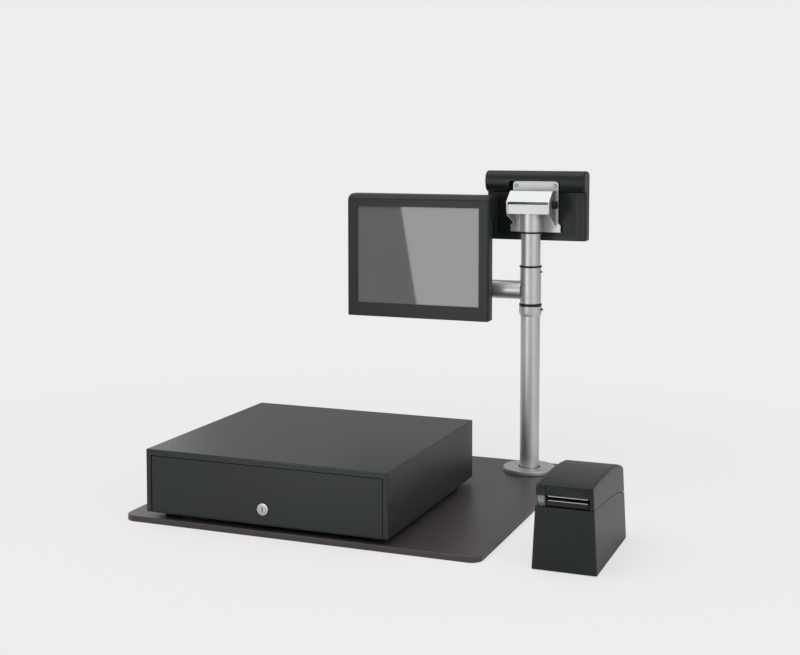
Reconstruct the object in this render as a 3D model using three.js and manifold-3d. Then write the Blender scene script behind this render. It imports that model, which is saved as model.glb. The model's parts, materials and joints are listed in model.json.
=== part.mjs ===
// Modular cash register: a base plate that carries a cash drawer unit and a display pole, with a
// receipt printer standing beside it on the counter. Millimetres, +Z up, X to the right along the
// drawer front, Y to the back. The origin is the middle of the underside of the base plate.
import * as THREE from 'three';
import { mergeVertices } from 'three/addons/utils/BufferGeometryUtils.js';
import Module from 'manifold-3d';

const wasm = await Module();
wasm.setup();

// ---------------------------------------------------------------- driving dimensions

const gap = 0.3; // between neighbours that touch on the real object
const around = 32; // facets on a full turn

const plate = { width: 624, depth: 600, thickness: 10, corner: 19 };

const cabinet = {
  width: 432, depth: 411, height: 105.5, wall: 1.5,
  lipSide: 8.5, lipTop: 10, lipDepth: 14,
  fromLeft: 42.6, fromFront: 4.2, // from the edges of the base plate
  cableHole: 7,
};

const foot = { radius: 14, height: 8.6, fromSide: 32, fromEnd: 34 };

const runner = { sheet: 1.2, height: 44, width: 10.5, centre: 52, front: 16, length: 350 };

const drawer = {
  seam: 1.1, panel: 1.5, panelDepth: 11, recess: 1,
  sheet: 1.2, side: 14, front: 12.5, length: 352, floor: 13, wallHeight: 70,
  stayWidth: 14, stayInset: 90, // the upright stays that the panel is screwed to the tray by
};

const lock = { height: 26, collar: 10, neck: 8.4, plug: 6.2, keySlot: 1.7, camReach: 22, camWidth: 9 };

const keeper = { width: 16, height: 12, thickness: 2, front: 4.2 };

const latch = { pivotHeight: 50, pivotFromBack: 8, reach: 28, width: 12, thickness: 3, lift: 12 };

const solenoid = { width: 32, depth: 29, height: 30, plunger: 3.5, ahead: 12, bore: 24 };

const kicker = { radius: 6.2, wire: 0.8, turns: 8, fromLeft: 110, height: 50 };

const till = { clearance: 1, height: 55.5, wall: 3, floor: 2.5, bays: 4, cupRows: 2, cupsLength: 160 };

const clip = { reach: 85, width: 18, thickness: 2, hub: 4, pin: 1.9, tip: 2.5, fromTop: 10, fromBack: 10.5 };

const pole = { radius: 18, wall: 3, fromRight: 75, fromBack: 68.5, tiltHeight: 502.6 };

// What fits round the pole takes its radius from the pole's.
const flange = { radius: 49, height: 8.3, bore: pole.radius + 2.5, chamfer: 1.2 };

const clamp = { radius: pole.radius + 3, height: 18.5, taper: 6, screwRadius: 2, screwOut: 3 };

const ring = { radius: pole.radius + 3.2, thick: 4.2, thin: 3 };

const arm = {
  reach: 204.7, tube: 17.2, collar: pole.radius + 1.5, collarHeight: 67.7,
  belowTilt: 160.6, bend: 20, tiltAbove: 65,
};

const head = {
  sleeve: pole.radius + 2.3, sleeveBelow: 50.2,
  channelHalf: 38, channelFront: 22, floorBelow: 16.6, sheet: 2,
};

const screw = { radius: 7.5, length: 8.5, shank: 2.4, grips: 10 };

const bracket = {
  half: 44, lowerHalf: 48.5, above: 42.4, below: 53, step: 36.5, corner: 6, sheet: 2.5,
  plane: 30, cheek: 2.5, hoodFront: 24.5, hoodLow: 6, hoodHigh: 25.2, holes: 75, hole: 2.6,
};

const operatorScreen = {
  width: 284, height: 234, shoulder: 11.1, depth: 24.5, roll: 57, rollHeight: 44,
  marginSide: 19.7, marginTop: 12.7, marginBottom: 25.9,
};

const customerScreen = {
  width: 193, height: 131, shoulder: 6, depth: 24.5, roll: 43, rollHeight: 41,
  marginSide: 12, marginTop: 10, marginBottom: 16,
};

const screen = { frontReach: 60.9, bezel: 12, wall: 2.5, glass: 3, lap: 4, belowTilt: 3.5, boss: 5 };

const printer = {
  width: 100, depth: 206, lean: 2, taper: 5.3, taperHeight: 97, wall: 2.5,
  seamFront: 97.4, seamBack: 76, lipLow: 113.3, top: 134, topFront: 132.6, topBack: 117,
  fromPlate: 77.7, fromFront: 6.2, floor: 4, underBody: 1,
  hingeInset: 3.6, hingeUp: 3.4, hingeSwing: 3.4, mouthRight: 12,
};

const paper = { width: 58, radius: 38, core: 8, fromLeft: 25.5, fromFront: 118, trough: 2 };

const platen = { radius: 7, shaft: 2.5, fromFront: 22, height: 112, overlap: 1.5 };

const lever = {
  left: 9.5, width: 10, front: 2, depth: 9, low: 102.4, high: 112.7,
  pivotY: 24, pivotZ: 99, pin: 2,
};

const rocker = { width: 18, height: 12, depth: 8, fromRight: 16, z: 20, out: 0.8 };

// ---------------------------------------------------------------- solids

function solid(geometry) {
  const bare = geometry.index ? geometry.toNonIndexed() : geometry.clone();
  bare.deleteAttribute('normal');
  bare.deleteAttribute('uv');
  const merged = mergeVertices(bare, 1e-4);
  return new wasm.Manifold(new wasm.Mesh({
    numProp: 3,
    vertProperties: new Float32Array(merged.attributes.position.array),
    triVerts: new Uint32Array(merged.index.array),
  }));
}

function geometryOf(body) {
  const mesh = body.getMesh();
  const geometry = new THREE.BufferGeometry();
  geometry.setAttribute('position', new THREE.BufferAttribute(new Float32Array(mesh.vertProperties), 3));
  geometry.setIndex(new THREE.BufferAttribute(new Uint32Array(mesh.triVerts), 1));
  geometry.computeVertexNormals();
  return geometry;
}

const join = (...bodies) => bodies.reduce((a, b) => a.add(b));
const cut = (body, ...tools) => tools.reduce((a, b) => a.subtract(b), body);

function box(x0, x1, y0, y1, z0, z1) {
  const geometry = new THREE.BoxGeometry(x1 - x0, y1 - y0, z1 - z0);
  return solid(geometry.translate((x0 + x1) / 2, (y0 + y1) / 2, (z0 + z1) / 2));
}

// A shape drawn in the plane across an axis, and extruded along it from one place to another.
// Across x it is drawn in (y, z), across y in (x, z), and across z in (x, y).
function prism(axis, shape, from, to, curveSegments = 6) {
  const geometry = new THREE.ExtrudeGeometry(shape, { depth: to - from, bevelEnabled: false, curveSegments });
  const turn = new THREE.Matrix4();
  if (axis === 'x') {
    turn.makeBasis(new THREE.Vector3(0, 1, 0), new THREE.Vector3(0, 0, 1), new THREE.Vector3(1, 0, 0));
    turn.setPosition(from, 0, 0);
  } else if (axis === 'y') {
    turn.makeBasis(new THREE.Vector3(1, 0, 0), new THREE.Vector3(0, 0, 1), new THREE.Vector3(0, -1, 0));
    turn.setPosition(0, to, 0);
  } else {
    turn.setPosition(0, 0, from);
  }
  return solid(geometry.applyMatrix4(turn));
}

function polygon(...points) {
  return new THREE.Shape(points.map(([u, v]) => new THREE.Vector2(u, v)));
}

function roundedRectangle(u0, u1, v0, v1, r) {
  const shape = new THREE.Shape();
  shape.moveTo(u0 + r, v0);
  shape.lineTo(u1 - r, v0);
  shape.absarc(u1 - r, v0 + r, r, -Math.PI / 2, 0);
  shape.lineTo(u1, v1 - r);
  shape.absarc(u1 - r, v1 - r, r, 0, Math.PI / 2);
  shape.lineTo(u0 + r, v1);
  shape.absarc(u0 + r, v1 - r, r, Math.PI / 2, Math.PI);
  shape.lineTo(u0, v0 + r);
  shape.absarc(u0 + r, v0 + r, r, Math.PI, 1.5 * Math.PI);
  return shape;
}

// A round bar along an axis; u and v place it across that axis, as in prism.
function bar(axis, radius, from, to, u = 0, v = 0, facets = around) {
  const geometry = new THREE.CylinderGeometry(radius, radius, to - from, facets);
  const middle = (from + to) / 2;
  if (axis === 'x') geometry.rotateZ(-Math.PI / 2).translate(middle, u, v);
  else if (axis === 'y') geometry.translate(u, middle, v);
  else geometry.rotateX(Math.PI / 2).translate(u, v, middle);
  return solid(geometry);
}

// A body of revolution about Z, from a closed (radius, z) profile listed anticlockwise.
function turned(profile, facets = around) {
  const points = [...profile, profile[0]].map(([r, z]) => new THREE.Vector2(r, z));
  return solid(new THREE.LatheGeometry(points, facets).rotateX(Math.PI / 2));
}

function hollowBar(outer, inner, from, to) {
  return turned([[inner, from], [outer, from], [outer, to], [inner, to]]);
}

function finish(name, colour, roughness, metalness, body) {
  const material = new THREE.MeshStandardMaterial({ color: colour, roughness, metalness });
  const mesh = new THREE.Mesh(geometryOf(body), material);
  mesh.name = name;
  return mesh;
}

const darkSteel = (name, body) => finish(name, 0x343838, 0.5, 0.2, body);
const platePaint = (name, body) => finish(name, 0x4f4b4b, 0.45, 0.2, body);
const zinc = (name, body) => finish(name, 0xa8abab, 0.35, 0.9, body);
const satinAluminium = (name, body) => finish(name, 0xb4b7b6, 0.38, 0.9, body);
const darkPlastic = (name, body) => finish(name, 0x333838, 0.5, 0, body);
const blackPlastic = (name, body) => finish(name, 0x111212, 0.5, 0, body);
const greyPlastic = (name, body) => finish(name, 0x8a9090, 0.45, 0, body);
const rubber = (name, body) => finish(name, 0x161616, 0.85, 0, body);
const glassy = (name, body) => finish(name, 0x5c5e5f, 0.08, 0, body);
const paperWhite = (name, body) => finish(name, 0xf1efe9, 0.9, 0, body);

const register = new THREE.Group();

function placed(x, y, z, ...meshes) {
  const group = new THREE.Group();
  group.position.set(x, y, z);
  group.add(...meshes);
  return group;
}

// ---------------------------------------------------------------- base plate

register.add(platePaint('base_plate', prism('z', roundedRectangle(
  -plate.width / 2, plate.width / 2, -plate.depth / 2, plate.depth / 2, plate.corner), 0, plate.thickness)));

// ---------------------------------------------------------------- cash drawer unit
// Its own frame: the origin is the front left lower corner of the cabinet.

const middle = cabinet.width / 2;
const inBack = cabinet.depth - cabinet.wall; // inner face of the back wall
const latchY = inBack - latch.pivotFromBack;
const lift = THREE.MathUtils.degToRad(latch.lift);

function cabinetShell() {
  const { width, depth, height, wall, lipSide, lipTop, lipDepth } = cabinet;
  const box0 = box(0, width, 0, depth, 0, height);
  const inside = box(wall, width - wall, lipDepth, inBack, wall, height - wall);
  const mouth = box(lipSide, width - lipSide, -1, lipDepth + 1, -1, height - lipTop);
  const tongue = join(
    box(middle - keeper.width / 2 - 2, middle + keeper.width / 2 + 2, keeper.front, lipDepth + 2, 0, wall),
    box(middle - keeper.width / 2, middle + keeper.width / 2,
      keeper.front, keeper.front + keeper.thickness, 0, keeper.height),
  );
  const floorFront = box(lipSide - 1, width - lipSide + 1, lipDepth - 1, lipDepth + 1.5, 0, wall);
  const cable = bar('y', cabinet.cableHole, inBack - 1, depth + 1, width - 52, 34);
  const ears = [-1, 1].map((side) => {
    const inner = middle + side * (latch.width / 2 + 1.5);
    const outer = inner + side * 2.5;
    return box(Math.min(inner, outer), Math.max(inner, outer),
      latchY - 5, inBack + 0.5, latch.pivotHeight - 6, latch.pivotHeight + 6);
  });
  const pinHole = bar('x', 2.1, middle - latch.width, middle + latch.width, latchY, latch.pivotHeight, 16);
  return cut(join(cut(box0, inside, mouth), floorFront, tongue, ...ears), cable, pinHole);
}

// The runners are two nested channels. Drawn for the left side, mirrored for the right.
function channel(x0, x1, z0, z1, y0, length, webAtRight) {
  const t = runner.sheet;
  const hollow = webAtRight ? box(x0 - 1, x1 - t, y0 - 1, y0 + length + 1, z0 + t, z1 - t)
    : box(x0 + t, x1 + 1, y0 - 1, y0 + length + 1, z0 + t, z1 - t);
  return cut(box(x0, x1, y0, y0 + length, z0, z1), hollow);
}

function outerRunner(right) {
  const x0 = cabinet.wall + gap;
  const [a, b] = right ? [cabinet.width - x0 - runner.width, cabinet.width - x0] : [x0, x0 + runner.width];
  return channel(a, b, runner.centre - runner.height / 2, runner.centre + runner.height / 2,
    runner.front, runner.length, right);
}

function innerRunner(right) {
  const x1 = drawer.side - gap;
  const x0 = cabinet.lipSide + 0.7;
  const half = runner.height / 2 - runner.sheet - gap;
  const [a, b] = right ? [cabinet.width - x1, cabinet.width - x0] : [x0, x1];
  return channel(a, b, runner.centre - half, runner.centre + half, runner.front, drawer.length - 6, !right);
}

function tray() {
  const { side, front, length, floor, wallHeight, sheet } = drawer;
  const [x0, x1, y0, y1] = [side, cabinet.width - side, front, front + length];
  const shell = cut(box(x0, x1, y0, y1, floor, floor + wallHeight),
    box(x0 + sheet, x1 - sheet, y0 + sheet, y1 - sheet, floor + sheet, floor + wallHeight + 1));
  const toothY = latchY - latch.reach;
  const tongueTop = latch.pivotHeight - 7;
  const tongue = box(middle - latch.width / 2, middle + latch.width / 2, y1 - sheet, toothY + 8,
    tongueTop - 3, tongueTop);
  const catchHole = box(middle - 2.5, middle + 2.5, toothY - 3, toothY + 3.6, tongueTop - 4, tongueTop + 1);
  const lockRoom = bar('y', lock.plug, y0 - 1, y0 + sheet + 1, middle, lock.height, 16);
  return cut(join(shell, cut(tongue, catchHole)), lockRoom);
}

function drawerFront() {
  const { seam, panel, panelDepth, recess } = drawer;
  const [x0, x1] = [cabinet.lipSide + seam, cabinet.width - cabinet.lipSide - seam];
  const [z0, z1] = [0.6, cabinet.height - cabinet.lipTop - seam];
  const y1 = recess + panelDepth;
  const pan = cut(box(x0, x1, recess, y1, z0, z1),
    box(x0 + panel, x1 - panel, recess + panel, y1 + 1, z0 + panel, z1 - panel));
  const keeperRoom = box(middle - keeper.width / 2 - 3, middle + keeper.width / 2 + 3,
    recess + panel, y1 + 1, z0 - 1, z0 + panel + 1);
  const lockHole = bar('y', lock.neck + gap, recess - 1, recess + panel + 1, middle, lock.height);
  const stays = [x0 + drawer.stayInset, x1 - drawer.stayInset - drawer.stayWidth].map((x) => box(
    x, x + drawer.stayWidth, recess + panel - 0.5, drawer.front - gap, drawer.floor + 4, z1 - panel - 12));
  return cut(join(pan, ...stays), keeperRoom, lockHole);
}

function lockCollar() {
  const bore = lock.plug + gap;
  const body = turned([
    [bore, -5.6], [lock.neck, -5.6], [lock.neck, 0], [lock.collar, 0], [lock.collar, 2.4],
    [lock.collar - 0.8, 3.2], [bore, 3.2],
  ]);
  return body.rotate([90, 0, 0]).translate([middle, drawer.recess - gap, lock.height]);
}

function lockPlug() {
  const y0 = drawer.recess - gap - 3.4;
  const plug = bar('y', lock.plug, y0, y0 + 9.8, middle, lock.height, 24);
  const slot = lock.keySlot / 2;
  const keyway = join(
    box(middle - slot, middle + slot, y0 - 1, y0 + 6, lock.height - 4, lock.height + 4),
    box(middle, middle + slot + 1, y0 - 1, y0 + 6, lock.height + 1.4, lock.height + 3),
  );
  return cut(plug, keyway);
}

function lockCam() {
  const y0 = drawer.recess - gap - 3.4 + 9.8 + gap;
  const hub = bar('y', lock.camWidth / 2 + 1, y0, y0 + 2.2, middle, lock.height, 20);
  const finger = prism('y', roundedRectangle(middle - 3, middle + lock.camReach,
    lock.height - lock.camWidth / 2, lock.height + lock.camWidth / 2, 3), y0, y0 + 2.2);
  return join(hub, finger);
}

// The latch lever, with its pin on the origin and its reach along -Y, level where it is latched.
function latchLever() {
  const { reach, width, thickness } = latch;
  const blade = box(-width / 2, width / 2, -reach - 2, 2, -thickness / 2, thickness / 2);
  const tooth = box(-1.5, 1.5, -reach - 1.5, -reach + 1.5, -9, 0);
  const pin = bar('x', 1.8, -width / 2 - 3.8, width / 2 + 3.8, 0, 0, 16);
  return join(blade, tooth, pin);
}

const plungerLow = latch.pivotHeight + (solenoid.ahead + solenoid.plunger) * Math.tan(lift)
  + latch.thickness / 2 / Math.cos(lift) + gap;
const solenoidLow = plungerLow + 6;

function solenoidBlock() {
  const y1 = inBack - gap;
  const frame = box(middle - solenoid.width / 2, middle + solenoid.width / 2, y1 - solenoid.depth, y1,
    solenoidLow, solenoidLow + solenoid.height);
  const bore = bar('z', solenoid.plunger + gap, solenoidLow - 1, solenoidLow + solenoid.bore,
    middle, latchY - solenoid.ahead, 16);
  return cut(frame, bore);
}

class Helix extends THREE.Curve {
  constructor(radius, length, turns) {
    super();
    Object.assign(this, { radius, length, turns });
  }

  getPoint(t, target = new THREE.Vector3()) {
    const a = 2 * Math.PI * this.turns * t;
    return target.set(this.radius * Math.cos(a), this.length * t, this.radius * Math.sin(a));
  }
}

function circle(radius) {
  return new THREE.Shape().absarc(0, 0, radius, 0, 2 * Math.PI);
}

function kickSpring() {
  const y0 = drawer.front + drawer.length + gap + kicker.wire;
  const y1 = inBack - gap - kicker.wire;
  const path = new Helix(kicker.radius, y1 - y0, kicker.turns);
  const geometry = new THREE.ExtrudeGeometry(circle(kicker.wire), {
    steps: kicker.turns * 12, extrudePath: path, curveSegments: 3, bevelEnabled: false,
  });
  return solid(geometry.translate(kicker.fromLeft, y0, kicker.height));
}

const tillX = drawer.side + drawer.sheet + till.clearance;
const tillY = drawer.front + drawer.sheet + till.clearance;
const tillBack = drawer.front + drawer.length - drawer.sheet - till.clearance;
const tillZ = drawer.floor + drawer.sheet + gap;
const tillTop = tillZ + till.height;
const bayFloor = tillZ + till.floor;
const bayWidth = (cabinet.width - 2 * tillX - till.wall * (till.bays + 1)) / till.bays;
const bayLeft = (n) => tillX + till.wall + n * (bayWidth + till.wall);
const clipY = tillBack - clip.fromBack;
const clipZ = tillTop - clip.fromTop;

function tillInsert() {
  const block = box(tillX, cabinet.width - tillX, tillY, tillBack, tillZ, tillTop);
  const cupLength = (till.cupsLength - till.wall * (till.cupRows + 1)) / till.cupRows;
  const cups = [];
  const bays = [];
  const ears = [];
  const pins = [];
  for (let n = 0; n < till.bays; n++) {
    const x0 = bayLeft(n);
    const centre = x0 + bayWidth / 2;
    bays.push(box(x0, x0 + bayWidth, tillY + till.cupsLength, tillBack - till.wall, bayFloor, tillTop + 1));
    for (let row = 0; row < till.cupRows; row++) {
      const y0 = tillY + till.wall + row * (cupLength + till.wall);
      const scoop = new THREE.Shape();
      const rise = 24;
      scoop.moveTo(y0, tillTop + 1);
      scoop.lineTo(y0, bayFloor + rise);
      scoop.quadraticCurveTo(y0 + 3, bayFloor, y0 + cupLength / 2, bayFloor);
      scoop.quadraticCurveTo(y0 + cupLength - 3, bayFloor, y0 + cupLength, bayFloor + rise);
      scoop.lineTo(y0 + cupLength, tillTop + 1);
      cups.push(prism('x', scoop, x0, x0 + bayWidth, 5));
    }
    for (const side of [-1, 1]) {
      const inner = centre + side * (clip.width / 2 + gap);
      const outer = inner + side * 3;
      ears.push(box(Math.min(inner, outer), Math.max(inner, outer),
        clipY - 5, tillBack - 1, clipZ - 6, clipZ + 5));
    }
    pins.push(bar('x', clip.pin + gap, centre - clip.width, centre + clip.width, clipY, clipZ, 12));
  }
  return cut(join(cut(block, ...bays, ...cups), ...ears), ...pins);
}

// A note clip, with its pin on the origin. At rest its tip lies on the floor of the bay.
const clipDroop = Math.asin((clipZ - bayFloor - clip.tip - gap) / clip.reach);

function noteClip() {
  const half = clip.width / 2;
  const hub = bar('x', clip.hub, -half, half, 0, 0, 16);
  const pin = bar('x', clip.pin, -half - 3, half + 3, 0, 0, 12);
  const blade = box(-half, half, -clip.reach, 0, -clip.thickness / 2, clip.thickness / 2);
  const tip = bar('x', clip.tip, -half, half, -clip.reach, 0, 12);
  return join(hub, pin, blade, tip);
}

const lever0 = darkSteel('latch_hook', latchLever());
lever0.material = new THREE.MeshStandardMaterial({ color: 0xa8abab, roughness: 0.4, metalness: 0.9 });
lever0.position.set(middle, latchY, latch.pivotHeight);
lever0.rotation.x = -lift;

const drawerUnit = placed(
  -plate.width / 2 + cabinet.fromLeft, -plate.depth / 2 + cabinet.fromFront, plate.thickness + foot.height,
  darkSteel('drawer_cabinet', cabinetShell()),
  zinc('outer_runner_left', outerRunner(false)),
  zinc('outer_runner_right', outerRunner(true)),
  zinc('inner_runner_left', innerRunner(false)),
  zinc('inner_runner_right', innerRunner(true)),
  darkSteel('drawer_tray', tray()),
  darkSteel('drawer_front', drawerFront()),
  zinc('lock_collar', lockCollar()),
  zinc('lock_plug', lockPlug()),
  zinc('lock_cam', lockCam()),
  lever0,
  blackPlastic('release_solenoid', solenoidBlock()),
  zinc('solenoid_plunger', bar('z', solenoid.plunger, plungerLow, plungerLow + 22,
    middle, latchY - solenoid.ahead, 16)),
  zinc('kick_spring', kickSpring()),
  blackPlastic('till_insert', tillInsert()),
);

for (let n = 0; n < till.bays; n++) {
  const mesh = blackPlastic(`note_clip_${n + 1}`, noteClip());
  mesh.position.set(bayLeft(n) + bayWidth / 2, clipY, clipZ);
  mesh.rotation.x = clipDroop;
  drawerUnit.add(mesh);
}

const footPlaces = {
  front_left: [foot.fromSide, foot.fromEnd],
  front_right: [cabinet.width - foot.fromSide, foot.fromEnd],
  rear_left: [foot.fromSide, cabinet.depth - foot.fromEnd],
  rear_right: [cabinet.width - foot.fromSide, cabinet.depth - foot.fromEnd],
};

for (const [place, [x, y]] of Object.entries(footPlaces)) {
  drawerUnit.add(rubber(`foot_${place}`, bar('z', foot.radius, -foot.height + gap, -gap, x, y, 24)));
}

register.add(drawerUnit);

// ---------------------------------------------------------------- pole and arm
// Its own frame: the origin is the pole's axis on the top of the base plate.

const armZ = pole.tiltHeight - arm.belowTilt;
const collarLow = armZ - arm.tube - 6.9;
const collarHigh = collarLow + arm.collarHeight;
const sleeveLow = pole.tiltHeight - head.sleeveBelow;
const poleTop = pole.tiltHeight - head.floorBelow - gap;
const bore = pole.radius + gap;

function setScrew(z, from) {
  return bar('x', clamp.screwRadius, from + 0.4, from + clamp.screwOut, 0, z, 12);
}

function poleFlange() {
  const { radius, height, bore: hole, chamfer } = flange;
  return turned([
    [hole, gap], [radius, gap], [radius, height - chamfer], [radius - chamfer, height], [hole, height],
  ], 48);
}

function clampCollar() {
  const low = collarLow - ring.thick - 2 * gap - clamp.height;
  return turned([
    [bore, low], [pole.radius + 1, low], [clamp.radius, low + clamp.taper],
    [clamp.radius, low + clamp.height], [bore, low + clamp.height],
  ]);
}

class QuarterBend extends THREE.Curve {
  constructor(radius) {
    super();
    this.radius = radius;
  }

  // From level, running along -X, up to vertical.
  getPoint(t, target = new THREE.Vector3()) {
    const a = t * Math.PI / 2;
    return target.set(-this.radius * Math.sin(a), 0, this.radius * (1 - Math.cos(a)));
  }
}

function displayArm() {
  const collar = bar('z', arm.collar, collarLow, collarHigh);
  const tube = bar('x', arm.tube, -arm.reach + arm.bend, 0, 0, armZ);
  const bend = solid(new THREE.ExtrudeGeometry(circle(arm.tube), {
    steps: 8, extrudePath: new QuarterBend(arm.bend), curveSegments: 8, bevelEnabled: false,
  }).translate(-arm.reach + arm.bend, 0, armZ));
  const stubTop = armZ + arm.tiltAbove - head.floorBelow - gap;
  const stub = bar('z', arm.tube, armZ + arm.bend - 0.2, stubTop, -arm.reach, 0);
  return cut(join(collar, tube, bend, stub), bar('z', bore, collarLow - 1, collarHigh + 1));
}

function spacer(z0, thickness, inner = bore) {
  return hollowBar(ring.radius, inner, z0, z0 + thickness);
}

const armRingLow = armZ + arm.bend + 4;
const clampMiddle = collarLow - ring.thick - 2 * gap - clamp.height / 2 + 3;

const poleX = plate.width / 2 - pole.fromRight;
const poleY = plate.depth / 2 - pole.fromBack;

register.add(placed(
  poleX, poleY, plate.thickness,
  satinAluminium('pole_flange', poleFlange()),
  satinAluminium('pole_tube', hollowBar(pole.radius, pole.radius - pole.wall, gap, poleTop)),
  satinAluminium('clamp_collar', clampCollar()),
  blackPlastic('clamp_screw', setScrew(clampMiddle, clamp.radius)),
  blackPlastic('ring_below_arm', spacer(collarLow - gap - ring.thick, ring.thick)),
  satinAluminium('display_arm', displayArm()),
  zinc('arm_set_screw', setScrew(collarHigh - 8, arm.collar)),
  blackPlastic('ring_above_arm', spacer(collarHigh + gap, ring.thin)),
  blackPlastic('ring_below_head', spacer(sleeveLow - gap - ring.thin, ring.thin)),
  blackPlastic('arm_end_ring', spacer(armRingLow, ring.thin, arm.tube + gap).translate([-arm.reach, 0, 0])),
));

// ---------------------------------------------------------------- swivel heads, brackets, screens
// Their own frame: the origin is where the tilt axis, along X, crosses the upright axis. The screen
// is on the +Y side.

// The sleeve that turns on its tube, and the folded channel on it that the bracket tilts on.
function swivelHead(sleeveBelow, tubeRadius) {
  const { sleeve, channelHalf, channelFront, floorBelow, sheet } = head;
  const floor = box(-channelHalf, channelHalf, -channelFront, 14, -floorBelow, -floorBelow + sheet);
  const frontWall = box(-channelHalf, channelHalf, -channelFront, -channelFront + sheet, -floorBelow, 1);
  const walls = [-1, 1].map((side) => {
    const outer = side * channelHalf;
    const inner = side * (channelHalf - sheet);
    const outline = new THREE.Shape();
    outline.moveTo(-channelFront, -floorBelow);
    outline.lineTo(14, -floorBelow);
    outline.lineTo(12, 0);
    outline.absarc(0, 0, 12, 0, 0.75 * Math.PI);
    outline.lineTo(-channelFront, 1);
    return prism('x', outline, Math.min(outer, inner), Math.max(outer, inner));
  });
  const tube = hollowBar(sleeve, tubeRadius + gap, -sleeveBelow, -floorBelow + 0.5);
  const shankHole = bar('x', screw.shank + gap, -channelHalf - 1, channelHalf + 1, 0, 0, 16);
  return cut(join(floor, frontWall, ...walls, tube), shankHole);
}

// The bracket that tilts: two cheeks outside the channel, a sloping hood over it, and the plate that
// the screen is screwed to.
function tiltBracket() {
  const { half, lowerHalf, above, below, step, corner, sheet, plane, cheek } = bracket;
  const outline = new THREE.Shape();
  outline.moveTo(-lowerHalf, -below);
  outline.lineTo(lowerHalf, -below);
  outline.lineTo(lowerHalf, -step - 4);
  outline.lineTo(half, -step);
  outline.lineTo(half, above - corner);
  outline.absarc(half - corner, above - corner, corner, 0, Math.PI / 2);
  outline.lineTo(-half + corner, above);
  outline.absarc(-half + corner, above - corner, corner, Math.PI / 2, Math.PI);
  outline.lineTo(-half, -step);
  outline.lineTo(-lowerHalf, -step - 4);
  const plateBody = prism('y', outline, plane, plane + sheet);
  const inner = head.channelHalf + gap;
  const { hoodFront, hoodLow, hoodHigh } = bracket;
  const slope = (hoodHigh - hoodLow) / hoodFront;
  const side = new THREE.Shape();
  side.moveTo(-hoodFront, hoodLow);
  side.lineTo(-hoodFront + 2, -14);
  side.quadraticCurveTo(-hoodFront + 5, -22, -10, -23);
  side.lineTo(plane + 1, -step - 4);
  side.lineTo(plane + 1, hoodHigh + 0.35 * slope * plane);
  side.lineTo(0.35 * plane, hoodHigh + 0.35 * slope * plane);
  const cheeks = [prism('x', side, inner, inner + cheek), prism('x', side, -inner - cheek, -inner)];
  const hood = prism('x', polygon(
    [-hoodFront, hoodLow], [-hoodFront + 1.2, hoodLow - 1.6], [1.2, hoodHigh - 1.6], [0, hoodHigh],
  ), -inner - cheek, inner + cheek);
  const holes = [];
  for (const x of [-1, 1]) {
    for (const z of [-1, 1]) {
      holes.push(bar('y', bracket.hole, plane - 1, plane + sheet + 1,
        x * bracket.holes / 2, z * bracket.holes / 2 - screen.belowTilt, 12));
    }
  }
  const shankHoles = bar('x', screw.shank + gap, -half, half, 0, 0, 16);
  return cut(join(plateBody, hood, ...cheeks), ...holes, shankHoles);
}

function thumbScrew(side) {
  const start = head.channelHalf + bracket.cheek + 2 * gap;
  const knob = [];
  for (let n = 0; n < screw.grips; n++) {
    const a = 2 * Math.PI * n / screw.grips;
    knob.push(bar('x', 1.1, start - 1, start + screw.length + 1,
      screw.radius * Math.cos(a), screw.radius * Math.sin(a), 8));
  }
  const grip = cut(bar('x', screw.radius, start, start + screw.length, 0, 0, 30), ...knob);
  const shank = bar('x', screw.shank, head.channelHalf - head.sheet - 3, start + 1, 0, 0, 16);
  const body = join(grip, shank);
  return side > 0 ? body : body.rotate([0, 0, 180]);
}

// A screen's side outline in (y, z), drawn inset by a wall's thickness, from a depth behind its front
// face. The roll at the top of its back holds the electronics.
function housingOutline(size, inset, fromDepth, toDepth) {
  const y = (d) => screen.frontReach - d;
  const low = -size.height / 2 - screen.belowTilt + inset;
  const high = size.height / 2 - screen.belowTilt - inset;
  const front = high - size.shoulder;
  const back = size.depth - inset;
  const rollBack = size.roll - inset;
  const rollLow = size.height / 2 - screen.belowTilt - size.rollHeight + inset;
  const round = size.rollHeight * 0.42;
  const whole = new THREE.Shape();
  whole.moveTo(y(inset), low);
  whole.lineTo(y(inset), front);
  whole.quadraticCurveTo(y(inset + 2), high, y(rollBack * 0.5), high);
  whole.lineTo(y(rollBack - round), high);
  whole.quadraticCurveTo(y(rollBack), high, y(rollBack), high - round);
  whole.quadraticCurveTo(y(rollBack), rollLow, y(back), rollLow);
  whole.lineTo(y(back), low);
  const slab = prism('x', whole, -size.width / 2 + inset, size.width / 2 - inset, 6);
  const keep = box(-size.width, size.width, y(toDepth), y(fromDepth), -size.height, size.height);
  return slab.intersect(keep);
}

function windowOf(size, grow, d0, d1) {
  const low = -size.height / 2 - screen.belowTilt + size.marginBottom;
  const high = size.height / 2 - screen.belowTilt - size.shoulder - size.marginTop;
  return box(-size.width / 2 + size.marginSide - grow, size.width / 2 - size.marginSide + grow,
    screen.frontReach - d1, screen.frontReach - d0, low - grow, high + grow);
}

function frontBezel(size) {
  const outer = housingOutline(size, 0, 0, screen.bezel);
  const hollow = housingOutline(size, screen.wall, screen.wall, screen.bezel + 1);
  return cut(outer, hollow, windowOf(size, 0, -1, screen.bezel));
}

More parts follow.
